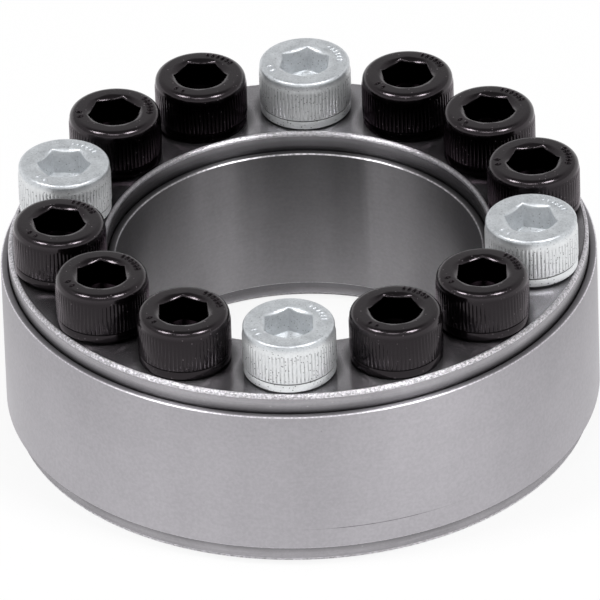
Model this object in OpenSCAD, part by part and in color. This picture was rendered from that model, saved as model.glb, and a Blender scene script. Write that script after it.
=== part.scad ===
// Keyless locking assembly. Two thrust rings wedge a slit outer ring against a hub
// and a slit inner ring against a shaft when the circle of screws is tightened.
// It is drawn as supplied, with the screws run in but not yet tightened.
// Millimetres. The origin is the middle of the rear face, and +Z runs along the shaft
// towards the screw heads. Screws are counted clockwise, seen from the heads, from +Y.

/* [Slit rings] */
// Diameter of the shaft, which is the bore of the inner ring
shaft_d = 40; // [38:0.5:41]
// Diameter of the hub bore, which is the outside of the outer ring
hub_d = 65; // [64:0.5:70]
// Width of both slit rings
ring_w = 17; // [16.5:0.5:20]
// Half angle of the tapers in degrees
taper = 14; // [11:0.5:15]
// Thickness of a slit ring at its ends
end_wall = 0.85; // [0.7:0.05:1]
// Width of the straight land in the middle of a slit ring
land_w = 1.5; // [1:0.1:3]
// Width of the slit through a slit ring
slit_w = 2; // [1:0.1:3]
// Chamfer on the gripping side of a slit ring
grip_edge = 0.2; // [0.1:0.05:0.3]
// Chamfer at the mouth of a taper
mouth_edge = 0.15; // [0.1:0.01:0.25]
// Length of the straight mouth at each end of a slit ring, which a collar slides into
mouth_land = 0.5; // [0.3:0.1:0.6]

/* [Thrust rings] */
// Thickness of a thrust ring from its face to its narrow end
thrust_t = 8; // [7:0.1:8.5]
// Height of the straight collar next to the face
collar_h = 2; // [1.5:0.1:2.5]
// Radius of the rounded edges of a face
face_round = 0.5; // [0.2:0.1:0.8]
// Chamfer at the narrow end
narrow_edge = 0.2; // [0.1:0.05:0.3]
// Radial gap left across each taper once the screws are tight
taper_fit = 0.02; // [0.01:0.01:0.05]
// Distance by which the two thrust rings still close up
closing = 1.4; // [0.6:0.1:2]

/* [Screws] */
// Number of screws
screw_n = 14; // [10:1:14]
// Thread diameter
screw_d = 6; // [5:0.5:6]
// Length below the head
screw_l = 18; // [16:0.5:20]
// Chamfer at the tip
tip_edge = 0.6; // [0.3:0.1:1]
// Fillet below the head
neck_edge = 0.25; // [0.1:0.05:0.3]
// Radial play of a screw in its clearance hole in the front thrust ring
hole_play = 0.2; // [0.2:0.05:0.35]
// Radial play of a screw in its tapped hole in the rear thrust ring
thread_play = 0.05; // [0.02:0.01:0.1]
// Diameter of the push-off holes, which the marker screws keep filled
push_hole_d = 6.7; // [6.5:0.1:7]
// Chamfer at the mouths of the holes
hole_edge = 0.35; // [0.3:0.05:0.5]

/* [Screw heads] */
// Diameter of the plain band at the foot of a head
head_d = 10; // [9:0.1:10.2]
// Height of a head
head_h = 6; // [5:0.1:6.5]
// Height of the plain band
band_h = 1.1; // [0.8:0.1:1.6]
// Width of the groove above the plain band
groove_w = 0.2; // [0.1:0.05:0.4]
// Depth of that groove
groove_h = 0.15; // [0.05:0.05:0.3]
// Number of teeth of the knurl
knurl_n = 72; // [36:2:90]
// Height of the teeth of the knurl, which rise from the diameter of the plain band
knurl_h = 0.14; // [0.08:0.01:0.2]
// Distance from the end of the knurl to the top of the head
crest_h = 1; // [0.8:0.1:1.4]
// Depth of the crest below the valleys of the knurl
crest_step = 0.05; // [0.02:0.01:0.1]
// Radius of the rounded top edge
crest_round = 0.7; // [0.3:0.1:0.8]
// Width across the flats of the socket
socket_af = 5; // [4:0.1:5.5]
// Depth of the socket to the end of its flats
socket_h = 3; // [2.5:0.1:3.4]
// Width of the chamfer round the socket, past its corners
socket_edge = 0.1; // [0.05:0.05:0.3]

/* [Hidden] */
$fn = 96;
// Distance that cuts reach past the faces they open
eps = 0.1;
slope = tan(taper);
hub_r = hub_d / 2;
shaft_r = shaft_d / 2;
proud = collar_h - mouth_land + closing / 2;
face_z = ring_w + 2 * proud;
collar_outer_r = hub_r - end_wall - taper_fit;
collar_inner_r = shaft_r + end_wall + taper_fit;
screw_circle_r = (collar_outer_r + collar_inner_r) / 2;
collar_half_w = (collar_outer_r - collar_inner_r) / 2;
screw_step = 360 / screw_n;
tapped_hole_d = screw_d + 2 * thread_play;
clearance_hole_d = screw_d + 2 * hole_play;
// Chamfer round the socket, and the drilled tip below its flats
socket_edge_slope = tan(30);
socket_tip_slope = tan(30);
socket_tip_inset = 0.1;
socket_tip_flat_d = 0.6;
// Number of straight steps in a rounded edge
edge_steps = 5;

// Numbers of the zinc-plated screws, which cover the push-off holes
marker_numbers = [0, 4, 7, 11];
// How far each screw stands turned, in degrees
socket_turns = [26, 45, 48, 11, 49, 30, 57, 32, 34, 35, 48, 57, 15, 59];

function is_marker(k) = len([for (number = marker_numbers) if (number == k) number]) > 0;
function markers_before(k) = len([for (number = marker_numbers) if (number < k) number]);
function screw_name(k) = is_marker(k)
    ? str("marker_screw_", markers_before(k) + 1)
    : str("clamp_screw_", k - markers_before(k) + 1);

// Points of a quarter round about a centre, from one angle to another
function quarter(centre, r, from, to) = [
    for (i = [0 : edge_steps])
        let (a = from + (to - from) * i / edge_steps)
        centre + r * [cos(a), sin(a)]
];

// Moves what follows to screw k's place on the screw circle
module at_screw(k) {
    rotate([0, 0, 90 - k * screw_step])
        translate([screw_circle_r, 0, 0])
            children();
}

// Section of a slit ring: x runs from the gripping side into the ring, y along the shaft
function slit_ring_section() =
    let (thick = end_wall + ((ring_w - land_w) / 2 - mouth_land) * slope)
    [
        [0, grip_edge],
        [0, ring_w - grip_edge],
        [grip_edge, ring_w],
        [end_wall - mouth_edge, ring_w],
        [end_wall, ring_w - mouth_edge],
        [end_wall, ring_w - mouth_land],
        [thick, (ring_w + land_w) / 2],
        [thick, (ring_w - land_w) / 2],
        [end_wall, mouth_land],
        [end_wall, mouth_edge],
        [end_wall - mouth_edge, 0],
        [grip_edge, 0]
    ];

// Slit ring that grips at grip_r. Its tapers face the axis if inward is 1, and away from it if -1.
module slit_ring(grip_r, inward, slit_angle) {
    translate([0, 0, proud])
        difference() {
            rotate_extrude()
                polygon([for (p = slit_ring_section()) [grip_r - inward * p.x, p.y]]);
            rotate([0, 0, slit_angle])
                translate([0, -slit_w / 2, -eps])
                    cube([hub_r + eps, slit_w, ring_w + 2 * eps]);
        }
}

module outer_ring() {
    color([0.68, 0.67, 0.69])
        slit_ring(hub_r, 1, 90 - screw_step / 2);
}

module inner_ring() {
    color([0.62, 0.62, 0.64])
        slit_ring(shaft_r, -1, -90 + screw_step / 2);
}

// Section of a thrust ring about the screw circle, with y the depth below its face
function thrust_ring_section() =
    let (
        narrow_half_w = collar_half_w - (thrust_t - collar_h) * slope,
        outer_side = concat(
            quarter([collar_half_w - face_round, face_round], face_round, -90, 0),
            [
                [collar_half_w, collar_h],
                [narrow_half_w + narrow_edge * slope, thrust_t - narrow_edge],
                [narrow_half_w - narrow_edge, thrust_t]
            ]
        ),
        last = len(outer_side) - 1
    )
    concat(
        [for (p = outer_side) [screw_circle_r + p.x, p.y]],
        [for (i = [0 : last]) [screw_circle_r - outer_side[last - i].x, outer_side[last - i].y]]
    );

// Hole through a thrust ring, from a chamfered mouth in its face
module face_hole(d) {
    translate([0, 0, -eps])
        cylinder(d = d, h = thrust_t + 2 * eps);
    translate([0, 0, -eps])
        cylinder(d1 = d + 2 * (hole_edge + eps), d2 = d, h = hole_edge + eps);
}

// Thrust ring with its face at the bottom and its narrow end up
module thrust_ring(hole_ds) {
    difference() {
        rotate_extrude()
            polygon(thrust_ring_section());
        for (k = [0 : screw_n - 1])
            at_screw(k)
                face_hole(hole_ds[k]);
    }
}

module rear_thrust_ring() {
    color([0.5, 0.5, 0.52])
        thrust_ring([for (k = [0 : screw_n - 1]) tapped_hole_d]);
}

module front_thrust_ring() {
    color([0.45, 0.45, 0.47])
        translate([0, 0, face_z])
            mirror([0, 0, 1])
                thrust_ring([for (k = [0 : screw_n - 1]) is_marker(k) ? push_hole_d : clearance_hole_d]);
}

// Shank below the head, from the fillet at z = 0 down to the tip
module shank() {
    translate([0, 0, -screw_l])
        cylinder(d1 = screw_d - 2 * tip_edge, d2 = screw_d, h = tip_edge);
    translate([0, 0, tip_edge - screw_l])
        cylinder(d = screw_d, h = screw_l - tip_edge);
    translate([0, 0, -neck_edge])
        cylinder(d1 = screw_d, d2 = screw_d + 2 * neck_edge, h = neck_edge);
}

// Outline of the knurl: one tooth and one valley for each step
function knurl_outline() = [
    for (i = [0 : 2 * knurl_n - 1])
        let (r = head_d / 2 + (i % 2 == 0 ? knurl_h : 0))
        r * [cos(180 * i / knurl_n), sin(180 * i / knurl_n)]
];

// Crest of the head above the knurl, with its rounded top edge
module crest() {
    r = head_d / 2 - crest_step;
    rotate_extrude()
        polygon(concat(
            [[0, 0], [r, 0]],
            quarter([r - crest_round, crest_h - crest_round], crest_round, 0, 90),
            [[0, crest_h]]
        ));
}

// Hexagon socket with a drilled tip, below z = 0
module socket() {
    corner_r = socket_af / 2 / cos(30);
    edge_r = corner_r + socket_edge;
    tip_d = socket_af - 2 * socket_tip_inset;
    tip_h = (tip_d - socket_tip_flat_d) / 2 * socket_tip_slope;
    translate([0, 0, -socket_h])
        cylinder(r = corner_r, h = socket_h + eps, $fn = 6);
    translate([0, 0, -socket_h - tip_h])
        cylinder(d1 = socket_tip_flat_d, d2 = tip_d, h = tip_h);
    translate([0, 0, -edge_r * socket_edge_slope])
        cylinder(r1 = 0, r2 = edge_r + eps, h = (edge_r + eps) * socket_edge_slope);
}

// Socket head screw standing on z = 0 with its shank below
module screw_body(turn) {
    groove_top = band_h + groove_w;
    knurl_top = head_h - crest_h;
    rotate([0, 0, turn])
        difference() {
            union() {
                shank();
                cylinder(d = head_d, h = band_h);
                cylinder(d = head_d - 2 * groove_h, h = groove_top);
                translate([0, 0, groove_top])
                    linear_extrude(height = knurl_top - groove_top)
                        polygon(knurl_outline());
                translate([0, 0, knurl_top])
                    crest();
            }
            translate([0, 0, head_h])
                socket();
        }
}

// Screw k: zinc plated over the push-off holes, black elsewhere
module screw(k) {
    color(is_marker(k) ? [0.8, 0.81, 0.82] : [0.13, 0.12, 0.13])
        at_screw(k)
            translate([0, 0, face_z])
                rotate([0, 0, k * screw_step - 90])
                    screw_body(socket_turns[k]);
}

outer_ring();
inner_ring();
front_thrust_ring();
rear_thrust_ring();
for (k = [0 : screw_n - 1])
    screw(k);
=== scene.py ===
import math
import bmesh
import bpy
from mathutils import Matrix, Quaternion, Vector


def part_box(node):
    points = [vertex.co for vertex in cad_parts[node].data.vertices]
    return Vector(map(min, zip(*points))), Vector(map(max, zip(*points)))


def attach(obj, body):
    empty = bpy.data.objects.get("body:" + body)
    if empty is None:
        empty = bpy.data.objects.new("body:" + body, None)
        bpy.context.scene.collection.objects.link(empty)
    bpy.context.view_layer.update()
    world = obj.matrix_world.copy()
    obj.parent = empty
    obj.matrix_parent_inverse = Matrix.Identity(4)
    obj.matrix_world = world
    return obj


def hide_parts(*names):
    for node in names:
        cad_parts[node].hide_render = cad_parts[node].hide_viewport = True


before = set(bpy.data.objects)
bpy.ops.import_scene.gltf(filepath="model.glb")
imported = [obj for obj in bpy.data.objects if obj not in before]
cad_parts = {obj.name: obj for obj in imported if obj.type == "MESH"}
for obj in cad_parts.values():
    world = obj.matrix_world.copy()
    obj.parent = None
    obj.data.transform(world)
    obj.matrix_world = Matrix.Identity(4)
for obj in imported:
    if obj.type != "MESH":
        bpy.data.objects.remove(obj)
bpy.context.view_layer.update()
mm = 0.001
mergeDistance = 0.001 * mm  # corners closer than this become one
tolerance = 0.01  # in millimetres, for finding corners by their place
print("frame loaded:", len(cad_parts), "nodes")


def deselectAll():
    if bpy.context.object and bpy.context.object.mode != "OBJECT":
        bpy.ops.object.mode_set(mode="OBJECT")
    bpy.ops.object.select_all(action="DESELECT")


def makeActive(piece):
    deselectAll()
    piece.select_set(True)
    bpy.context.view_layer.objects.active = piece


def startEdit(piece):
    makeActive(piece)
    bpy.ops.object.mode_set(mode="EDIT")


def endEdit():
    bpy.ops.object.mode_set(mode="OBJECT")


# selects what passes the test in edit mode: "VERT", "EDGE" or "FACE"
def pick(kind, test):
    mesh = bmesh.from_edit_mesh(bpy.context.object.data)
    bpy.ops.mesh.select_mode(type=kind)
    bpy.ops.mesh.select_all(action="DESELECT")
    parts = {"VERT": mesh.verts, "EDGE": mesh.edges, "FACE": mesh.faces}[kind]
    for part in parts:
        if test(part):
            part.select = True
    mesh.select_flush_mode()
    bmesh.update_edit_mesh(bpy.context.object.data)


def facesOutwards():
    bpy.ops.mesh.select_all(action="SELECT")
    bpy.ops.mesh.normals_make_consistent(inside=False)


def tidyMesh():
    bpy.ops.mesh.select_all(action="SELECT")
    bpy.ops.mesh.remove_doubles(threshold=mergeDistance)
    facesOutwards()


def closeEnds():
    pick("EDGE", lambda e: e.is_boundary)
    bpy.ops.mesh.edge_face_add()
    facesOutwards()


def applyModifier(piece, kind, **settings):
    makeActive(piece)
    modifier = piece.modifiers.new(kind.title(), kind)
    for key, value in settings.items():
        setattr(modifier, key, value)
    bpy.ops.object.modifier_apply(modifier=modifier.name)


def removePiece(piece):
    bpy.data.objects.remove(piece, do_unlink=True)


# a section drawn out from point to point, each point being (radius, height) in millimetres
def drawSection(name, points, close=True):
    places = [Vector((r * mm, 0, z * mm)) for r, z in points]
    deselectAll()
    bpy.ops.mesh.primitive_plane_add(size=0.1 * mm, location=places[0])
    section = bpy.context.object
    section.name = name
    bpy.ops.object.transform_apply(location=True)
    bpy.ops.object.mode_set(mode="EDIT")
    bpy.ops.mesh.select_mode(type="VERT")
    bpy.ops.mesh.merge(type="CENTER")
    for here, there in zip(places, places[1:]):
        bpy.ops.mesh.extrude_region_move(TRANSFORM_OT_translate={"value": there - here})
    if close:
        ends = (places[0], places[-1])
        pick("VERT", lambda v: any((v.co - end).length < 0.0001 * mm for end in ends))
        bpy.ops.mesh.edge_face_add()
    return section


# turns the section once round the axis, as on a lathe
def turnSection(steps):
    bpy.ops.mesh.select_all(action="SELECT")
    bpy.ops.mesh.spin(steps=steps, angle=2 * math.pi, center=(0, 0, 0), axis=(0, 0, 1))
    tidyMesh()


# winds the section up the axis, one pitch for each turn
def windSection(piece, pitch, turns, steps):
    endEdit()
    applyModifier(piece, "SCREW", screw_offset=pitch * mm, angle=2 * math.pi, iterations=turns,
                  steps=steps, render_steps=steps, use_merge_vertices=True,
                  merge_threshold=mergeDistance)
    startEdit(piece)
    tidyMesh()
    closeEnds()
    endEdit()


def polar(radius, angle):
    return radius * math.cos(angle), radius * math.sin(angle)


def arcPoints(r, z, radius, start, end, steps):
    angles = [math.radians(start + (end - start) * i / steps) for i in range(steps + 1)]
    return [(r + radius * math.cos(a), z + radius * math.sin(a)) for a in angles]


def smoothShade(piece, degrees=30):
    makeActive(piece)
    bpy.ops.object.shade_smooth_by_angle(angle=math.radians(degrees))


def cutAway(piece, cutter, operation="DIFFERENCE"):
    applyModifier(piece, "BOOLEAN", operation=operation, object=cutter, solver="EXACT")
    removePiece(cutter)


def softenEdges(piece, width):
    applyModifier(piece, "BEVEL", width=width * mm, segments=2, limit_method="ANGLE",
                  angle_limit=math.radians(30))


def addCylinder(sides, radius, low, high, topRadius=None, turn=0, place=(0, 0)):
    topRadius = radius if topRadius is None else topRadius
    deselectAll()
    bpy.ops.mesh.primitive_cone_add(
        vertices=sides, radius1=radius * mm, radius2=topRadius * mm, depth=(high - low) * mm,
        location=(place[0] * mm, place[1] * mm, (high + low) / 2 * mm), rotation=(0, 0, turn))
    piece = bpy.context.object
    bpy.ops.object.transform_apply(location=True, rotation=True)
    return piece


def joinPieces(pieces, name):
    deselectAll()
    for piece in pieces:
        piece.select_set(True)
    bpy.context.view_layer.objects.active = pieces[0]
    bpy.ops.object.join()
    pieces[0].name = name
    pieces[0].data.name = name
    return pieces[0]


def placedCopy(master, name, place, turn):
    piece = master.copy()
    piece.data = master.data.copy()
    piece.name = name
    piece.data.name = name
    bpy.context.scene.collection.objects.link(piece)
    makeActive(piece)
    piece.location = place
    piece.rotation_euler = (0, 0, turn)
    bpy.ops.object.transform_apply(location=True, rotation=True, scale=True)
    return piece


# writes a value for each corner of the mesh, which materials read by its name
def paint(piece, name, value, kind="FLOAT"):
    layer = piece.data.attributes.new(name, kind, "POINT")
    key = "value" if kind == "FLOAT" else "vector"
    for vertex, entry in zip(piece.data.vertices, layer.data):
        setattr(entry, key, value(vertex.co / mm))


def setInputs(tree, node, inputs):
    for key, value in inputs.items():
        if isinstance(value, bpy.types.NodeSocket):
            tree.links.new(value, node.inputs[key])
        else:
            node.inputs[key].default_value = value


def addNode(tree, kind, inputs=None, **settings):
    node = tree.nodes.new("ShaderNode" + kind)
    for key, value in settings.items():
        setattr(node, key, value)
    setInputs(tree, node, inputs or {})
    return node


def mathNode(tree, operation, first, second=0.0):
    return addNode(tree, "Math", {0: first, 1: second}, operation=operation).outputs[0]


def sumNode(tree, first, *others):
    for other in others:
        first = mathNode(tree, "ADD", first, other)
    return first


def timesNode(tree, first, *others):
    for other in others:
        first = mathNode(tree, "MULTIPLY", first, other)
    return first


def betweenNode(tree, value, low, high):
    return timesNode(tree, mathNode(tree, "GREATER_THAN", value, low),
                     mathNode(tree, "LESS_THAN", value, high))


def rangeNode(tree, value, low, high, outLow=0.0, outHigh=1.0):
    inputs = {"Value": value, "From Min": low, "From Max": high,
              "To Min": outLow, "To Max": outHigh}
    return addNode(tree, "MapRange", inputs, interpolation_type="SMOOTHSTEP").outputs[0]


def noiseNode(tree, place, scale, detail=2.0, roughness=0.5):
    inputs = {"Vector": place, "Scale": scale, "Detail": detail, "Roughness": roughness}
    return addNode(tree, "TexNoise", inputs).outputs[0]


def splitNode(tree, vector):
    return addNode(tree, "SeparateXYZ", {0: vector}).outputs


def squaresNode(tree, parts):
    x, y = (mathNode(tree, "POWER", parts[i], 2) for i in (0, 1))
    return sumNode(tree, x, y)


# distance from the upright axis
def radiusNode(tree, parts):
    return mathNode(tree, "SQRT", squaresNode(tree, parts))


def mixColours(tree, factor, first, second, blend="MIX"):
    inputs = {0: factor, 6: first, 7: second}
    return addNode(tree, "Mix", inputs, data_type="RGBA", blend_type=blend).outputs[2]


def greyNode(tree, value):
    return addNode(tree, "CombineColor", {0: value, 1: value, 2: value}).outputs[0]


def bumpNode(tree, height, strength, distance):
    inputs = {"Height": height, "Strength": strength, "Distance": distance * mm}
    return addNode(tree, "Bump", inputs).outputs[0]


def attributeNode(tree, name, output="Fac"):
    return addNode(tree, "Attribute", attribute_name=name).outputs[output]


def newGroup(name, inputs, outputs):
    group = bpy.data.node_groups.new(name, "ShaderNodeTree")
    for socketName, (kind, value) in inputs.items():
        socket = group.interface.new_socket(
            socketName, in_out="INPUT", socket_type="NodeSocket" + kind)
        if value is not None:
            socket.default_value = value
    for socketName in outputs:
        group.interface.new_socket(socketName, in_out="OUTPUT", socket_type="NodeSocketFloat")
    start = group.nodes.new("NodeGroupInput")
    end = group.nodes.new("NodeGroupOutput")
    return group, start.outputs, end.inputs


def useGroup(tree, group, place, **inputs):
    node = tree.nodes.new("ShaderNodeGroup")
    node.node_tree = group
    setInputs(tree, node, {"Place": place, **inputs})
    return node.outputs


# lathe marks: fine lines round the axis, slow bands along it, and soft patches round it
def makeLatheMarks(bandStretch=(0.08, 0.4, 0.08), patchStretch=(0.01, 0.7, 0.01)):
    inputs = {"Place": ("Vector", None), "Fineness": ("Float", 4000.0), "Length": ("Float", 8.0)}
    group, given, out = newGroup("LatheMarks", inputs, ("Lines", "Bands", "Patches"))
    parts = splitNode(group, given["Place"])
    angle = mathNode(group, "ARCTAN2", parts[1], parts[0])
    place = addNode(group, "CombineXYZ", {
        0: timesNode(group, radiusNode(group, parts), given["Fineness"]),
        1: timesNode(group, angle, given["Length"]),
        2: timesNode(group, parts[2], given["Fineness"])}).outputs[0]
    group.links.new(noiseNode(group, place, 1.0), out["Lines"])
    for name, stretch in (("Bands", bandStretch), ("Patches", patchStretch)):
        slow = addNode(group, "VectorMath", {0: place, 1: stretch}, operation="MULTIPLY")
        group.links.new(noiseNode(group, slow.outputs[0], 1.0), out[name])
    return group


# scattered specks, each a soft dot; only a share of the cells holds one
def makeSpecks():
    inputs = {"Place": ("Vector", None), "Scale": ("Float", 900.0), "Share": ("Float", 0.1),
              "Size": ("Float", 0.2)}
    group, given, out = newGroup("Specks", inputs, ("Mask",))
    cellInputs = {"Vector": given["Place"], "Scale": given["Scale"]}
    cells = addNode(group, "TexVoronoi", cellInputs).outputs
    chosen = mathNode(group, "LESS_THAN", splitNode(group, cells["Color"])[0], given["Share"])
    inner = timesNode(group, given["Size"], 0.5)
    dot = rangeNode(group, cells["Distance"], inner, given["Size"], 1.0, 0.0)
    group.links.new(timesNode(group, dot, chosen), out["Mask"])
    return group


# cloudy patches of handling and storage film, from large to small
def makeClouds():
    inputs = {"Place": ("Vector", None), "Scale": ("Float", 120.0), "Softness": ("Float", 0.25)}
    group, given, out = newGroup("Clouds", inputs, ("Mask",))
    noise = noiseNode(group, given["Place"], given["Scale"], detail=4.0, roughness=0.55)
    low = mathNode(group, "SUBTRACT", 0.5, given["Softness"])
    high = sumNode(group, 0.5, given["Softness"])
    mask = addNode(group, "MapRange", {"Value": noise, "From Min": low, "From Max": high})
    group.links.new(mask.outputs[0], out["Mask"])
    return group


# a thin, broken dark line round part of a ring, at one height
def makeDarkLine(start=-95, end=-54, fade=16.0, halfWidth=0.055, core=0.6,
                    breaks=260.0, breakSpan=(0.35, 0.5), faintest=0.3):
    inputs = {"Place": ("Vector", None), "Height": ("Float", 0.0)}
    group, given, out = newGroup("DarkLine", inputs, ("Mask",))
    parts = splitNode(group, given["Place"])
    off = mathNode(group, "ABSOLUTE", mathNode(group, "SUBTRACT", parts[2], given["Height"]))
    inLine = rangeNode(group, off, halfWidth * core * mm, halfWidth * mm, 1.0, 0.0)
    middle, half = math.radians((start + end) / 2), math.radians((end - start) / 2)
    angle = mathNode(group, "ARCTAN2", parts[1], parts[0])
    turned = mathNode(group, "ABSOLUTE", mathNode(group, "SUBTRACT", angle, middle))
    inArc = rangeNode(group, turned, half - math.radians(fade), half, 1.0, 0.0)
    broken = rangeNode(group, noiseNode(group, given["Place"], breaks), *breakSpan, faintest, 1.0)
    group.links.new(timesNode(group, inLine, inArc, broken), out["Mask"])
    return group


# the screws stand on one circle, the first at +Y and the rest clockwise seen from the heads
screwPlan = dict(
    count=14, circleR=26.25, markers=(0, 4, 7, 11),
    turns=(26, 45, 48, 11, 49, 30, 57, 32, 34, 35, 48, 57, 15, 59),
)


def screwPlace(k):
    return polar(screwPlan["circleR"], math.radians(90 - k * 360 / screwPlan["count"]))


# how far a place is from the axis of the nearest screw
def makeScrewDistance(plan):
    group, given, out = newGroup("ScrewDistance", {"Place": ("Vector", None)}, ("Distance",))
    parts = splitNode(group, given["Place"])
    circleR, sector = plan["circleR"] * mm, 2 * math.pi / plan["count"]
    angle = mathNode(group, "ARCTAN2", parts[0], parts[1])
    turn = mathNode(group, "FRACT", sumNode(group, mathNode(group, "DIVIDE", angle, sector), 0.5))
    away = timesNode(group, mathNode(group, "SUBTRACT", turn, 0.5), sector)
    squares = squaresNode(group, parts)
    cross = timesNode(group, mathNode(group, "SQRT", squares), mathNode(group, "COSINE", away))
    total = mathNode(group, "SUBTRACT", sumNode(group, squares, circleR ** 2),
                     timesNode(group, cross, 2 * circleR))
    group.links.new(mathNode(group, "SQRT", total), out["Distance"])
    return group


latheMarks = makeLatheMarks()
specks = makeSpecks()
clouds = makeClouds()
darkLine = makeDarkLine()
screwDistance = makeScrewDistance(screwPlan)


def grey(level, tint=(1.0, 1.0, 1.0)):
    return (level * tint[0], level * tint[1], level * tint[2], 1.0)


def newMaterial(name, constants):
    material = bpy.data.materials.new(name)
    material.use_nodes = True
    tree = material.node_tree
    shader = tree.nodes["Principled BSDF"]
    setInputs(tree, shader, constants)
    place = addNode(tree, "TexCoord").outputs["Object"]
    return material, tree, shader, place


# turned steel: every ring has it, with its own tone and coarseness
turnedFinishes = {
    "outerSteel": dict(
        level=0.485, tint=(1.01, 0.975, 1.035), roughness=0.40, anisotropy=0.8, fineness=3600,
        bump=0.03, lines=0.012, bands=0.012, patches=0.02, mottle=0.05, film=0.04, sparkle=0.12,
        rimLevel=0.95, rimRough=0.0, rimGrain=0.3, paintedShadeDepth=0.4,
        darkLineHeight=4.7, darkLineDepth=0.55),
    "innerSteel": dict(
        level=0.36, tint=(1.01, 0.98, 1.02), roughness=0.42, anisotropy=0.9, fineness=3600,
        bump=0.04, lines=0.02, bands=0.02, patches=0.06, mottle=0.04, film=0.05, sparkle=0.05,
        rimLevel=0.6, rimRough=-0.05, rimGrain=0.3, paintedShadeDepth=0.75),
    "thrustSteel": dict(
        level=0.40, tint=(1.01, 0.98, 1.03), roughness=0.22, anisotropy=1.0, fineness=4200,
        bump=0.08, lines=0.05, bands=0.05, patches=0.05, mottle=0.03, film=0.08, sparkle=0.25,
        rimLevel=0.66, rimRough=0.13, rimGrain=4.0, paintedShadeDepth=0.48),
}
# marks that all of them have
steelMarks = dict(
    filmClouds=dict(Scale=90.0, Softness=0.3), filmRough=0.05, mottleScale=2600.0,
    sparks=dict(Scale=1500.0, Share=0.05, Size=0.16), sparkColour=grey(0.75),
    pits=dict(Scale=300.0, Share=0.08, Size=0.035), pitColour=grey(0.06, (1.0, 0.9, 0.85)),
    pitTone=0.7, pitDepth=0.8, grainScale=3600.0, glitterLow=0.6, glitterHigh=1.5, bumpReach=0.02,
    lineSpan=(0.25, 0.75), grainSpan=(0.3, 0.7),  # the parts of the noise that count
)
# the thrust face's painted tone, and the painted shade round its screw heads
faceShade = dict(tone=1.05, headShade=0.68, headShadeFrom=5.0, headShadeTo=6.2)


def makeTurnedSteel(name, look, s):
    material, tree, shader, place = newMaterial(name, {
        "Metallic": 1.0, "Anisotropic": look["anisotropy"], "Anisotropic Rotation": 0.25})
    marks = useGroup(tree, latheMarks, place, Fineness=look["fineness"])
    film = useGroup(tree, clouds, place, **s["filmClouds"])["Mask"]
    sparks = useGroup(tree, specks, place, **s["sparks"])["Mask"]
    pits = useGroup(tree, specks, place, **s["pits"])["Mask"]
    tone = 1.0
    for layer in ("Lines", "Bands", "Patches"):
        strength = look[layer.lower()]
        swing = rangeNode(tree, marks[layer], *s["lineSpan"], -strength, strength)
        tone = sumNode(tree, tone, swing)
    mottle = noiseNode(tree, place, s["mottleScale"], detail=3.0, roughness=0.6)
    mottle = rangeNode(tree, mottle, *s["grainSpan"], -look["mottle"], look["mottle"])
    tone = sumNode(tree, tone, mottle)
    tone = mathNode(tree, "SUBTRACT", tone, timesNode(tree, film, look["film"]))
    # painted shade round each screw head on the thrust face, and a slightly lighter painted tone on
    # the rest of it
    distance = useGroup(tree, screwDistance, place)["Distance"]
    headShade = rangeNode(tree, distance, faceShade["headShadeFrom"] * mm, faceShade["headShadeTo"] * mm,
                    1 - faceShade["headShade"], 1.0)
    drop = mathNode(tree, "SUBTRACT", 1.0, timesNode(tree, headShade, faceShade["tone"]))
    drop = timesNode(tree, attributeNode(tree, "face"), drop)
    tone = timesNode(tree, tone, mathNode(tree, "SUBTRACT", 1.0, drop))
    if "darkLineDepth" in look:
        line = useGroup(tree, darkLine, place, Height=look["darkLineHeight"] * mm)["Mask"]
        tone = mathNode(tree, "SUBTRACT", tone, timesNode(tree, line, look["darkLineDepth"]))
    # painted shade, read from the attribute painted on each piece
    paintedShade = attributeNode(tree, "paintedShade")
    tone = timesNode(tree, tone, rangeNode(tree, paintedShade, 0.0, 1.0, 1.0, 1 - look["paintedShadeDepth"]))
    base = grey(look["level"], look["tint"])
    colour = mixColours(tree, 1.0, base, greyNode(tree, tone), "MULTIPLY")
    colour = mixColours(tree, timesNode(tree, sparks, look["sparkle"]), colour, s["sparkColour"])
    colour = mixColours(tree, timesNode(tree, pits, s["pitTone"]), colour, s["pitColour"])
    # the rounded edges are peened, so they glitter, and their lighter colour is also a painted
    # highlight
    rim = attributeNode(tree, "rim")
    grains = noiseNode(tree, place, s["grainScale"], detail=3.0, roughness=0.7)
    darkest = look["rimLevel"] * s["glitterLow"]
    brightest = min(1.0, look["rimLevel"] * s["glitterHigh"])
    glitter = rangeNode(tree, grains, *s["grainSpan"], darkest, brightest)
    glitter = mixColours(tree, 1.0, greyNode(tree, glitter), grey(1.0, look["tint"]), "MULTIPLY")
    colour = mixColours(tree, rim, colour, glitter)
    rough = sumNode(tree, look["roughness"], timesNode(tree, film, s["filmRough"]),
                    timesNode(tree, rim, look["rimRough"]))
    height = mathNode(tree, "SUBTRACT", marks["Lines"], timesNode(tree, pits, s["pitDepth"]))
    height = sumNode(tree, timesNode(tree, height, look["bump"]),
                     timesNode(tree, grains, rim, look["rimGrain"]))
    tangent = addNode(tree, "Tangent", direction_type="RADIAL", axis="Z").outputs[0]
    setInputs(tree, shader, {
        "Base Color": colour, "Roughness": rough, "Tangent": tangent,
        "Normal": bumpNode(tree, height, 1.0, s["bumpReach"])})
    return material


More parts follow.
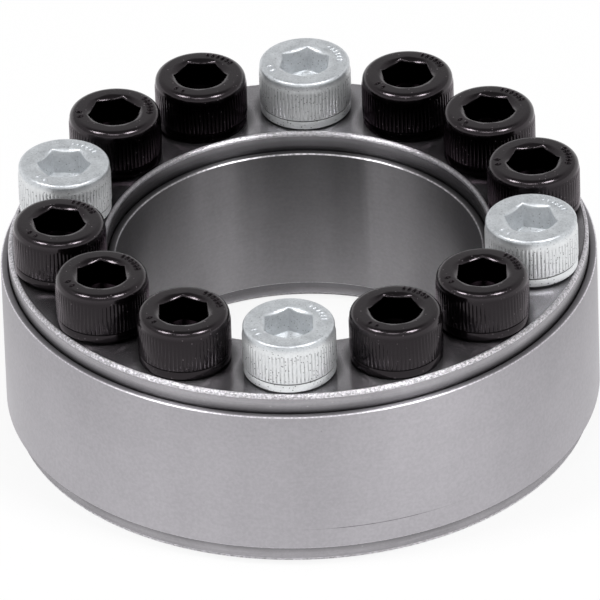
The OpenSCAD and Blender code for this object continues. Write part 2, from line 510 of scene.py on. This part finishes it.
screwFinishes = {
    "blackOxide": dict(
        low=(0.0007, 0.0005, 0.0006, 1), high=(0.0022, 0.0017, 0.0019, 1), metallic=0.0,
        specular=0.62, tint=(1.0, 0.88, 0.96, 1), roughness=0.13, cloud=700.0, grain=3000.0,
        bump=0.5, dotColour=(0.16, 0.14, 0.15, 1), dotShare=0.12, flankDots=0.5, topDots=0.5,
        flankLight=0.0, flankShade=0.42, boreSideShade=0.55, markDull=0.8,
        socket=(0.0004, 0.0003, 0.0004, 1), socketShare=0.95, socketMetal=0.9,
        recessDark=(0.0, 0.0, 0.0, 1), valleyDark=0.9),
    "zincPlate": dict(
        low=(0.36, 0.38, 0.40, 1), high=(0.80, 0.83, 0.86, 1), metallic=0.62,
        specular=0.5, tint=(1.0, 1.0, 1.0, 1), roughness=0.34, cloud=900.0, grain=4200.0,
        bump=1.0, dotColour=grey(0.09, (0.95, 1.0, 1.03)), dotShare=0.6, flankDots=0.85,
        topDots=0.35, flankLight=0.45, flankShade=0.0, boreSideShade=0.0, markDull=0.0,
        socket=(0.75, 0.76, 0.77, 1), socketShare=0.3, socketMetal=0.62,
        recessDark=(0.12, 0.12, 0.12, 1), valleyDark=0.6),
}
# where a finish changes, in millimetres from the screw's axis and above its seat
screwZones = dict(
    flankR=4.3, flankEnd=5.0, flankFade=5.7, dotsEnd=4.6, dotsFade=5.6, socketR=3.0, socketTop=5.7,
    knurlR=4.9, valleyR=5.0, toothR=5.06, knurlLow=1.35, knurlHigh=4.65,
    grooveR=4.94, bandR=4.99, grooveLow=1.08, grooveHigh=1.26, markLow=6.02,
    boreSide=23.0, boreSideFade=24.6,  # from the axis of the rings
)
# marks that both screw finishes have
screwMarks = dict(
    softness=0.3, cloudShare=0.5, cloudRough=0.08, bumpReach=0.015, dotScale=3000.0, dotSize=0.28,
    flankColour=grey(0.95), recessNoiseScale=900.0, recessNoiseSpan=(0.35, 0.6), grooveDark=0.9,
)


def makeScrewFinish(name, look, zones, s):
    material, tree, shader, place = newMaterial(name, {
        "Specular IOR Level": look["specular"], "Specular Tint": look["tint"]})
    patches = useGroup(tree, clouds, place, Scale=look["cloud"], Softness=s["softness"])["Mask"]
    fine = useGroup(tree, clouds, place, Scale=look["grain"], Softness=s["softness"])["Mask"]
    dots = useGroup(tree, specks, place, Scale=s["dotScale"], Share=look["dotShare"],
                    Size=s["dotSize"])["Mask"]
    local = splitNode(tree, attributeNode(tree, "localPlace", "Vector"))
    radius, height = radiusNode(tree, local), local[2]
    blend = sumNode(tree, timesNode(tree, patches, s["cloudShare"]),
                    timesNode(tree, fine, 1 - s["cloudShare"]))
    colour = mixColours(tree, blend, look["low"], look["high"])
    belowTop = rangeNode(tree, height, zones["flankEnd"], zones["flankFade"], 1.0, 0.0)
    onFlank = timesNode(tree, belowTop, mathNode(tree, "GREATER_THAN", radius, zones["flankR"]))
    # painted light: the flanks are mixed towards a light grey, on the zinc heads only
    flankShare = timesNode(tree, onFlank, look["flankLight"])
    colour = mixColours(tree, flankShare, colour, s["flankColour"])
    dotTone = rangeNode(tree, height, zones["dotsEnd"], zones["dotsFade"],
                        look["flankDots"], look["topDots"])
    colour = mixColours(tree, timesNode(tree, dots, dotTone), colour, look["dotColour"])
    # inside the socket, painted shade on the black heads and painted light on the zinc ones
    inSocket = timesNode(tree, mathNode(tree, "LESS_THAN", radius, zones["socketR"]),
                         mathNode(tree, "LESS_THAN", height, zones["socketTop"]))
    socketShare = timesNode(tree, inSocket, look["socketShare"])
    colour = mixColours(tree, socketShare, colour, look["socket"])
    # darker in the valleys of the knurl, here and there, and in the groove below it
    valley = rangeNode(tree, radius, zones["valleyR"], zones["toothR"], 1.0, 0.0)
    onKnurl = betweenNode(tree, height, zones["knurlLow"], zones["knurlHigh"])
    outside = mathNode(tree, "GREATER_THAN", radius, zones["knurlR"])
    broken = rangeNode(tree, noiseNode(tree, place, s["recessNoiseScale"], detail=3.0), *s["recessNoiseSpan"])
    recessDark = timesNode(tree, valley, onKnurl, outside, broken, look["valleyDark"])
    groove = timesNode(tree, betweenNode(tree, height, zones["grooveLow"], zones["grooveHigh"]),
                       rangeNode(tree, radius, zones["grooveR"], zones["bandR"], 1.0, 0.0))
    recessDark = mathNode(tree, "MAXIMUM", recessDark, timesNode(tree, groove, s["grooveDark"]))
    colour = mixColours(tree, recessDark, colour, look["recessDark"])
    # black as a metal hardly reflects, so this darkens the sides as painted shade, most towards the
    # bore, and darkens the marks
    fromAxis = radiusNode(tree, splitNode(tree, place))
    boreSide = rangeNode(tree, fromAxis, zones["boreSide"] * mm, zones["boreSideFade"] * mm,
                         1.0, 0.0)
    sideShade = sumNode(tree, timesNode(tree, onFlank, look["flankShade"]),
                   timesNode(tree, boreSide, onFlank, look["boreSideShade"]))
    onMark = mathNode(tree, "GREATER_THAN", height, zones["markLow"])
    socketRise = timesNode(tree, inSocket, look["socketMetal"] - look["metallic"])
    metal = mathNode(tree, "MAXIMUM", sumNode(tree, look["metallic"], socketRise), sideShade)
    metal = mathNode(tree, "MAXIMUM", metal, timesNode(tree, onMark, look["markDull"]))
    rough = sumNode(tree, look["roughness"], timesNode(tree, patches, s["cloudRough"]))
    setInputs(tree, shader, {
        "Base Color": colour, "Metallic": metal, "Roughness": rough,
        "Normal": bumpNode(tree, fine, look["bump"], s["bumpReach"])})
    return material


finishes = {name: makeTurnedSteel(name, look, steelMarks) for name, look in turnedFinishes.items()}
for name, look in screwFinishes.items():
    finishes[name] = makeScrewFinish(name, look, screwZones, screwMarks)
print("finishes ready:", ", ".join(finishes))


def dress(piece, finish):
    piece.data.materials.clear()
    piece.data.materials.append(finishes[finish])


def placeFor(piece, node):
    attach(piece, node)
    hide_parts(node)


slope = math.tan(math.radians(14))  # of every taper, on its radius
slitRingShape = dict(wall=0.85, land=1.5, mouth=0.15, mouthLand=0.5, slitW=2, bevel=0.05, steps=192,
                     gripDepth=0.3, paintedShadeLow=0.3, paintedShadeRise=0.55)
# bands are (angle, darkness) pairs of painted shade and painted reflections round the side that
# grips, in degrees
slitRings = {
    "outer_ring": dict(
        gripR=32.5, inward=-1, edge=0.15, slitAngle=90 - 180 / 14, finish="outerSteel",
        slot="turned_steel",
        bands=((0, 0.6), (180, 0.55), (240, 0.42), (275, 0.42), (300, 0.15), (330, 0.55),
               (360, 0.6))),
    "inner_ring": dict(
        gripR=20.0, inward=1, edge=0.16, slitAngle=-90 + 180 / 14, finish="innerSteel",
        slot="inner_steel",
        bands=((0, 0.6), (44, 0.6), (56, 0.54), (68, 0.6), (73, 1.0), (80, 1.0), (88, 0.9),
               (98, 0.95), (108, 0.92), (117, 0.7), (126, 0.5), (140, 0.62), (180, 0.6), (215, 0.9),
               (250, 0.4), (285, 0.9), (320, 0.3), (360, 0.6))),
}


def bandAt(bands, angle):
    for (start, first), (end, last) in zip(bands, bands[1:]):
        if start <= angle <= end:
            share = (angle - start) / (end - start)
            return first + (last - first) * share * share * (3 - 2 * share)
    return 0.0


def makeSlitRing(node, ring, s):
    low, high = (corner.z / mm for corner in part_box(node))
    middle, edge, mouth = (low + high) / 2, ring["edge"], s["mouth"]
    thick = s["wall"] + ((high - low - s["land"]) / 2 - s["mouthLand"]) * slope
    half = [(thick, middle + s["land"] / 2), (s["wall"], high - s["mouthLand"]),
            (s["wall"], high - mouth), (s["wall"] - mouth, high), (edge, high), (0, high - edge)]
    section = half + [(x, 2 * middle - z) for x, z in reversed(half)]
    points = [(ring["gripR"] + ring["inward"] * x, z) for x, z in section]
    piece = drawSection(node + "_detail", points)
    turnSection(s["steps"])
    endEdit()
    # the slit is cut by a bar from the axis to 1 mm past the ring
    reach = ring["gripR"] + thick + 1
    angle = math.radians(ring["slitAngle"])
    x, y = polar(reach / 2, angle)
    deselectAll()
    bpy.ops.mesh.primitive_cube_add(
        size=1, location=(x * mm, y * mm, middle * mm), rotation=(0, 0, angle),
        scale=(reach * mm, s["slitW"] * mm, (high - low + 2) * mm))
    cutAway(piece, bpy.context.object)
    softenEdges(piece, s["bevel"])
    smoothShade(piece)
    margin = tolerance / 2

    def isEdge(p):
        across, down = abs(p.xy.length - ring["gripR"]), min(p.z - low, high - p.z)
        onEdge = margin < across < edge - margin and margin < down < edge - margin
        return 1.0 if onEdge else 0.0

    # painted shade and painted reflections: the grip side darkens towards the top and by the bands
    # round it, and the other sides are darkest
    def paintedShadeAt(p):
        if abs(p.xy.length - ring["gripR"]) > s["gripDepth"]:
            return 1.0
        band = bandAt(ring["bands"], math.degrees(math.atan2(p.y, p.x)) % 360)
        return band * (s["paintedShadeLow"] + s["paintedShadeRise"] * (p.z - low) / (high - low))
    paint(piece, "rim", isEdge)
    paint(piece, "paintedShade", paintedShadeAt)
    dress(piece, ring["finish"])
    placeFor(piece, node)
    return piece


for node, ring in slitRings.items():
    piece = makeSlitRing(node, ring, slitRingShape)
    print(node, "modelled:", len(piece.data.polygons), "faces")

# depths are below the face that the screw heads, or their tips, come out of
thrustShape = dict(
    outerR=31.63, innerR=20.87, thick=8, collar=2.0, faceRound=0.5, faceSteps=8, cornerBlend=0.15,
    narrowEdge=0.2, bevel=0.05, steps=192, holeEdge=0.35, holeSides=48,
    clearanceR=3.2, pushR=3.35, tappedR=3.05,
    rimMargin=0.03, innerGlitter=0.5,
    paintedShadeOuter=0.9, paintedShadeInner=0.3,  # less light reaches the bore's side
)


def thrustSection(s):
    sides = []
    taperX = (s["thick"] - s["collar"]) * slope
    for edgeR, outward in ((s["outerR"], 1), (s["innerR"], -1)):
        side = arcPoints(s["faceRound"], s["faceRound"], s["faceRound"], 270, 180, s["faceSteps"])
        # corners down the collar, for the painted shade to darken from one to the next
        side += [(0, s["collar"] * share) for share in (0.45, 0.6, 0.75)]
        # the corner between the collar and the taper is a soft curve
        for share in (-1, -0.5, 0, 0.5, 1):
            lean = slope * s["cornerBlend"] * (1 + share) ** 2 / 4
            side.append((lean, s["collar"] + share * s["cornerBlend"]))
        side += [(taperX - s["narrowEdge"] * slope, s["thick"] - s["narrowEdge"]),
                 (taperX + s["narrowEdge"], s["thick"])]
        sides.append([(edgeR - outward * x, depth) for x, depth in side])
    return sides[0] + sides[1][::-1]


def makeThrustRing(node, faceZ, up, holeRadii, s):
    points = [(r, faceZ - up * depth) for r, depth in thrustSection(s)]
    piece = drawSection(node + "_detail", points)
    turnSection(s["steps"])
    endEdit()
    # the drills reach 1 mm past both faces
    drills, chamfers = [], []
    for k, radius in enumerate(holeRadii):
        low, high = sorted((faceZ + up, faceZ - up * (s["thick"] + 1)))
        drills.append(addCylinder(s["holeSides"], radius, low, high, place=screwPlace(k)))
        low, high = sorted((faceZ + up * s["holeEdge"], faceZ - up * s["holeEdge"]))
        lowR, highR = (radius, radius + 2 * s["holeEdge"])[::up]
        chamfers.append(addCylinder(s["holeSides"], lowR, low, high, highR, place=screwPlace(k)))
    for cutters in (drills, chamfers):
        cutAway(piece, joinPieces(cutters, "cutter"))
    softenEdges(piece, s["bevel"])
    smoothShade(piece)
    rimR = s["faceRound"] - s["rimMargin"]
    faceInner = s["innerR"] + s["faceRound"] - tolerance
    faceOuter = s["outerR"] - s["faceRound"] + tolerance

    def isRim(p):
        depth = up * (faceZ - p.z)
        fromOuter, fromInner = abs(p.xy.length - s["outerR"]), abs(p.xy.length - s["innerR"])
        if depth > rimR or min(fromOuter, fromInner) > rimR:
            return 0.0
        return 1.0 if fromOuter < fromInner else s["innerGlitter"]

    # painted shade, growing with depth below the ring's face, towards the gap between the rings
    def paintedShadeAt(p):
        start = s["paintedShadeOuter" if p.xy.length > screwPlan["circleR"] else "paintedShadeInner"]
        return min(1.0, max(0.0, up * (faceZ - p.z) - start))

    # only the face under the heads has the painted shade round them
    def isFace(p):
        inside = faceInner < p.xy.length < faceOuter
        return 1.0 if inside and up > 0 and faceZ - p.z < tolerance else 0.0
    paint(piece, "rim", isRim)
    paint(piece, "paintedShade", paintedShadeAt)
    paint(piece, "face", isFace)
    dress(piece, "thrustSteel")
    placeFor(piece, node)
    return piece


frontHoles = [thrustShape["pushR" if k in screwPlan["markers"] else "clearanceR"]
              for k in range(screwPlan["count"])]
rearHoles = [thrustShape["tappedR"]] * screwPlan["count"]
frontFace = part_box("front_thrust_ring")[1].z / mm
frontRing = makeThrustRing("front_thrust_ring", frontFace, 1, frontHoles, thrustShape)
rearRing = makeThrustRing("rear_thrust_ring", 0, -1, rearHoles, thrustShape)
print("thrust rings modelled:", len(frontRing.data.polygons), "and",
      len(rearRing.data.polygons), "faces")

# heights are above the seat of the head, on the face of the front thrust ring
screwShape = dict(
    headR=5.0, headH=6.0, seatR=4.66, footGap=0.14, footLean=0.02, footEdge=0.1,
    bandH=1.1, bandEdge=0.05, grooveW=0.14, grooveD=0.1, grooveLean=0.03,
    teeth=72, toothH=0.07, toothRunOut=0.4, toothColumns=4,
    crestH=1.0, crestStep=0.02, crestLean=0.06, crestRound=0.45, crestSteps=8, topInnerR=3.5,
    flats=5.1, socketDepth=3.0, socketEdge=0.2, socketSlope=30, socketBevel=0.12, socketSides=96,
    tipInset=0.1, tipFlatR=0.3, tipSlope=30,
    markR=3.92, markAngles=(-24, -15, -6, 3, 12, 21, 170, 184), markSize=(0.44, 0.2, 0.22),
    markProud=0.16, threadR=2.95, rootR=2.39, pitch=1.0, length=18.0, threadSteps=36,
    endEdge=0.6, endSides=48, neckR=2.96, neckLength=1.0, neckFillet=0.25, neckOverlap=0.13,
    shadeAngle=32,
)
blackScrewShape = dict(screwShape, crestRound=0.8)  # black heads are rounder


def headSection(s):
    knurlFoot = s["bandH"] + s["grooveW"]
    knurlTop = s["headH"] - s["crestH"]
    headR, neckR, crestR = s["headR"], s["neckR"], s["headR"] - s["crestStep"]
    grooveR, grooveLean = headR - s["grooveD"], s["grooveLean"]
    fillet, gap, crestRound = s["neckFillet"], s["footGap"], s["crestRound"]
    inCurve = 0.3 * fillet  # the middle of the fillet's curve
    crestArc = arcPoints(crestR - crestRound, s["headH"] - crestRound, crestRound, 0, 90,
                         s["crestSteps"])
    return [
        (neckR, -s["neckLength"]), (neckR, -fillet),
        (neckR + inCurve, -inCurve), (neckR + fillet, 0),
        (s["seatR"], 0), (s["seatR"] + s["footLean"], gap),
        (headR - s["footEdge"], gap), (headR, gap + s["footEdge"]),
        (headR, s["bandH"] - s["bandEdge"]), (headR - grooveLean, s["bandH"]),
        (grooveR, s["bandH"] + grooveLean), (grooveR, knurlFoot - grooveLean),
        (headR, knurlFoot), (headR, knurlFoot + s["toothH"]),
        (headR, knurlTop - s["toothRunOut"]), (headR, knurlTop),
        (crestR, knurlTop + s["crestLean"]), *crestArc, (s["topInnerR"], s["headH"])]


def makeHead(s):
    head = drawSection("socketHead", headSection(s), close=False)
    columns = s["toothColumns"] * s["teeth"]
    turnSection(columns)
    closeEnds()
    # all but one column of corners is moved out for each tooth, and that one is the valley
    low = s["bandH"] + s["grooveW"] + s["toothH"] - tolerance
    high = s["headH"] - s["crestH"] - s["toothRunOut"] + tolerance

    def isTooth(v):
        column = round(math.atan2(v.co.y, v.co.x) / (2 * math.pi) * columns)
        onSide = low < v.co.z / mm < high and v.co.xy.length > (s["headR"] - tolerance) * mm
        return onSide and column % s["toothColumns"] < s["toothColumns"] - 1
    pick("VERT", isTooth)
    out = (s["headR"] + s["toothH"]) / s["headR"]
    bpy.ops.transform.resize(value=(out, out, 1), center_override=(0, 0, 0))
    endEdit()
    return head


def cutSocket(head, s):
    top, sides, overlap = s["headH"], s["socketSides"], 0.001
    cornerR = s["flats"] / 2 / math.cos(math.radians(30))
    floorZ = top - s["socketDepth"]
    cutAway(head, addCylinder(6, cornerR, floorZ, top + 1, turn=math.radians(30)))
    tipR = s["flats"] / 2 - s["tipInset"]
    tipH = (tipR - s["tipFlatR"]) * math.tan(math.radians(s["tipSlope"]))
    cutAway(head, addCylinder(sides, s["tipFlatR"], floorZ - tipH, floorZ + overlap, tipR))
    edgeR = cornerR + s["socketEdge"]
    edgeH = edgeR * math.tan(math.radians(s["socketSlope"]))
    cutAway(head, addCylinder(sides, overlap, top - edgeH, top + edgeH, 2 * edgeR))
    startEdit(head)
    tidyMesh()

    # the corners and the mouth of the hexagon, but not its floor
    def isSocketEdge(e):
        heights = [v.co.z / mm for v in e.verts]
        near = all(v.co.xy.length < (cornerR + 2 * tolerance) * mm for v in e.verts)
        onWall = min(heights) > floorZ - tolerance and max(heights) > floorZ + 10 * tolerance
        isSharp = len(e.link_faces) == 2 and e.calc_face_angle(0) > math.radians(20)
        return near and onWall and isSharp
    pick("EDGE", isSocketEdge)
    bpy.ops.mesh.bevel(offset=s["socketBevel"] * mm, segments=2, affect="EDGES")
    tidyMesh()
    endEdit()


# plain raised marks on the top of the head, each long along the radius
def addMarks(head, s):
    marks = []
    top = s["headH"] - s["markSize"][2] + s["markProud"]
    for angle in s["markAngles"]:
        a = math.radians(angle)
        x, y = polar(s["markR"], a)
        deselectAll()
        bpy.ops.mesh.primitive_uv_sphere_add(
            segments=12, ring_count=8, radius=mm, scale=s["markSize"], rotation=(0, 0, a),
            location=(x * mm, y * mm, top * mm))
        marks.append(bpy.context.object)
        bpy.ops.object.transform_apply(location=True, rotation=True, scale=True)
    cutAway(head, joinPieces(marks, "marks"), "UNION")


# the height where the winding of a thread starts, below the screw's tip
def threadStart(s):
    return -s["length"] - 1.5 * s["pitch"]


# one pitch of the thread wound up the shank, and trimmed by a cone to its length and tip
def makeShank(s):
    pitch, length = s["pitch"], s["length"]
    crest, root, flank = pitch / 8, pitch / 4, pitch * 5 / 16
    z = threadStart(s)
    profile = [(s["rootR"], z), (s["rootR"], z + root), (s["threadR"], z + root + flank),
               (s["threadR"], z + root + flank + crest), (s["rootR"], z + pitch)]
    shank = drawSection("shank", profile, close=False)
    windSection(shank, pitch, math.ceil(length / pitch) + 3, s["threadSteps"])
    tipR, top = s["threadR"] - s["endEdge"], s["neckOverlap"] - s["neckLength"]
    trim = addCylinder(s["endSides"], tipR, -length, top, tipR + length + top)
    cutAway(shank, trim, "INTERSECT")
    return shank


def makeScrew(s):
    head = makeHead(s)
    cutAway(head, makeShank(s), "UNION")
    cutSocket(head, s)
    addMarks(head, s)
    head.name = "socketScrew"
    smoothShade(head, s["shadeAngle"])
    paint(head, "localPlace", lambda p: p, "FLOAT_VECTOR")
    return head


# a tapped hole's thread, with half its width at each radius
ridgeShape = dict(innerR=2.46, innerHalf=0.11, outerR=3.1, outerHalf=0.42, ends=0.3, steps=30,
                  shadeAngle=40, paintedShade=0.6)


# one ridge that fits the screw's groove, wound up the hole
def makeThreadRidge(s, screw, low, high):
    pitch = screw["pitch"]
    groove = threadStart(screw) + pitch / 8
    z = groove + math.ceil((low - groove) / pitch) * pitch
    profile = [(s["innerR"], z - s["innerHalf"]), (s["innerR"], z + s["innerHalf"]),
               (s["outerR"], z + s["outerHalf"]), (s["outerR"], z - s["outerHalf"])]
    ridge = drawSection("threadRidge", profile)
    windSection(ridge, pitch, math.floor((high - z) / pitch), s["steps"])
    smoothShade(ridge, s["shadeAngle"])
    return ridge


markerMaster = makeScrew(screwShape)
clampMaster = makeScrew(blackScrewShape)
ridgeEnds = (ridgeShape["ends"], thrustShape["thick"] - ridgeShape["ends"])
masterRidge = makeThreadRidge(ridgeShape, screwShape, *(z - frontFace for z in ridgeEnds))
print("screws modelled:", len(markerMaster.data.polygons), "and",
      len(clampMaster.data.polygons), "faces")
ridges = []
for k in range(screwPlan["count"]):
    isMarker = k in screwPlan["markers"]
    number = sum(1 for m in screwPlan["markers"] if m < k)
    node = f"marker_screw_{number + 1}" if isMarker else f"clamp_screw_{k - number + 1}"
    x, y = screwPlace(k)
    place = (x * mm, y * mm, frontFace * mm)
    turn = math.radians(screwPlan["turns"][k])
    master = markerMaster if isMarker else clampMaster
    screw = placedCopy(master, node + "_detail", place, turn)
    dress(screw, "zincPlate" if isMarker else "blackOxide")
    placeFor(screw, node)
    ridges.append(placedCopy(masterRidge, "ridge", place, turn))
for master in (markerMaster, clampMaster, masterRidge):
    removePiece(master)
threads = joinPieces(ridges, "rear_ring_threads")
paint(threads, "rim", lambda p: 0.0)
# painted shade inside the tapped holes
paint(threads, "paintedShade", lambda p: ridgeShape["paintedShade"])
dress(threads, "thrustSteel")
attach(threads, "rear_thrust_ring")
print("screws and threads placed")

# the rings shade the floor inside them, so the white fades out there
floorLook = dict(size=6, below=0.02, level=0.85, roughness=0.9, specular=0.1,
                 white=0.85, shadeR=0.031, whiteR=0.034)


def makeFloor(s):
    deselectAll()
    bpy.ops.mesh.primitive_plane_add(size=s["size"], location=(0, 0, -s["below"] * mm))
    floor = bpy.context.object
    floor.name = "floor"
    bpy.ops.object.transform_apply(location=True)
    material, tree, shader, place = newMaterial("paleFloor", {
        "Base Color": grey(s["level"]), "Roughness": s["roughness"],
        "Specular IOR Level": s["specular"]})
    white = addNode(tree, "Emission", {"Color": grey(1.0), "Strength": 1.0})
    path = addNode(tree, "LightPath").outputs
    outside = rangeNode(tree, radiusNode(tree, splitNode(tree, place)), s["shadeR"], s["whiteR"])
    mirrored = mathNode(tree, "MAXIMUM", path["Is Glossy Ray"], path["Is Transmission Ray"])
    seen = mathNode(tree, "MAXIMUM", path["Is Camera Ray"], timesNode(tree, mirrored, outside))
    mix = addNode(tree, "MixShader", {
        0: timesNode(tree, seen, s["white"]), 1: shader.outputs[0], 2: white.outputs[0]})
    tree.links.new(mix.outputs[0], tree.nodes["Material Output"].inputs[0])
    floor.data.materials.append(material)


# a white sweep near the horizon, under a dimmer ceiling that is darkest overhead
worldLook = dict(wallTop=0.2, ceilingFrom=0.42, ceiling=0.5, overheadFrom=0.72, overheadTo=0.9,
                 overhead=0.35)


def makeWorld(s):
    world = bpy.data.worlds.new("studio")
    bpy.context.scene.world = world
    world.use_nodes = True
    tree = world.node_tree
    height = splitNode(tree, addNode(tree, "TexCoord").outputs["Generated"])[2]
    sweep = rangeNode(tree, height, s["wallTop"], s["ceilingFrom"], 1.0, s["ceiling"])
    dim = rangeNode(tree, height, s["overheadFrom"], s["overheadTo"], 1.0, s["overhead"])
    setInputs(tree, tree.nodes["Background"], {
        "Color": grey(1.0), "Strength": timesNode(tree, sweep, dim)})


# stands a lamp or the camera at its distance from the aim, turned towards it
def standAt(name, data, plan):
    a, e = math.radians(plan["azimuth"]), math.radians(plan["elevation"])
    away = Vector((math.sin(a) * math.cos(e), -math.cos(a) * math.cos(e), math.sin(e)))
    holder = bpy.data.objects.new(name, data)
    bpy.context.scene.collection.objects.link(holder)
    holder.location = Vector(plan["aim"]) + away * plan["distance"]
    roll = Quaternion((0, 0, 1), -math.radians(plan.get("roll", 0)))
    holder.rotation_euler = ((-away).to_track_quat("-Z", "Y") @ roll).to_euler()
    return holder


lampPlan = dict(elevation=60, distance=0.9, aim=(0, 0, 0.015), width=0.22, height=0.22)
lamps = dict(
    leftBox=dict(lampPlan, azimuth=-71, power=3.15),
    rightBox=dict(lampPlan, azimuth=60, power=3.6),
    middleBox=dict(lampPlan, azimuth=-6, elevation=62, width=0.3, height=0.16, power=0.8),
)


def addLamp(name, plan):
    lamp = bpy.data.lights.new(name, "AREA")
    lamp.shape = "RECTANGLE"
    lamp.size, lamp.size_y = plan["width"], plan["height"]
    lamp.energy = plan["power"]
    standAt(name, lamp, plan)


cameraPlan = dict(azimuth=2.95, elevation=33.125, roll=1.97, distance=1.636, lens=899.0,
                  aim=(-0.00004, 0, 0.01305), sensor=36.0, clipStart=0.05, clipEnd=20.0)


def makeCamera(plan):
    camera = bpy.data.cameras.new("camera")
    camera.lens, camera.sensor_width = plan["lens"], plan["sensor"]
    camera.clip_start, camera.clip_end = plan["clipStart"], plan["clipEnd"]
    bpy.context.scene.camera = standAt("camera", camera, plan)


makeFloor(floorLook)
makeWorld(worldLook)
for name, plan in lamps.items():
    addLamp(name, plan)
makeCamera(cameraPlan)
bpy.context.scene.view_settings.view_transform = "Standard"
print("stage ready")
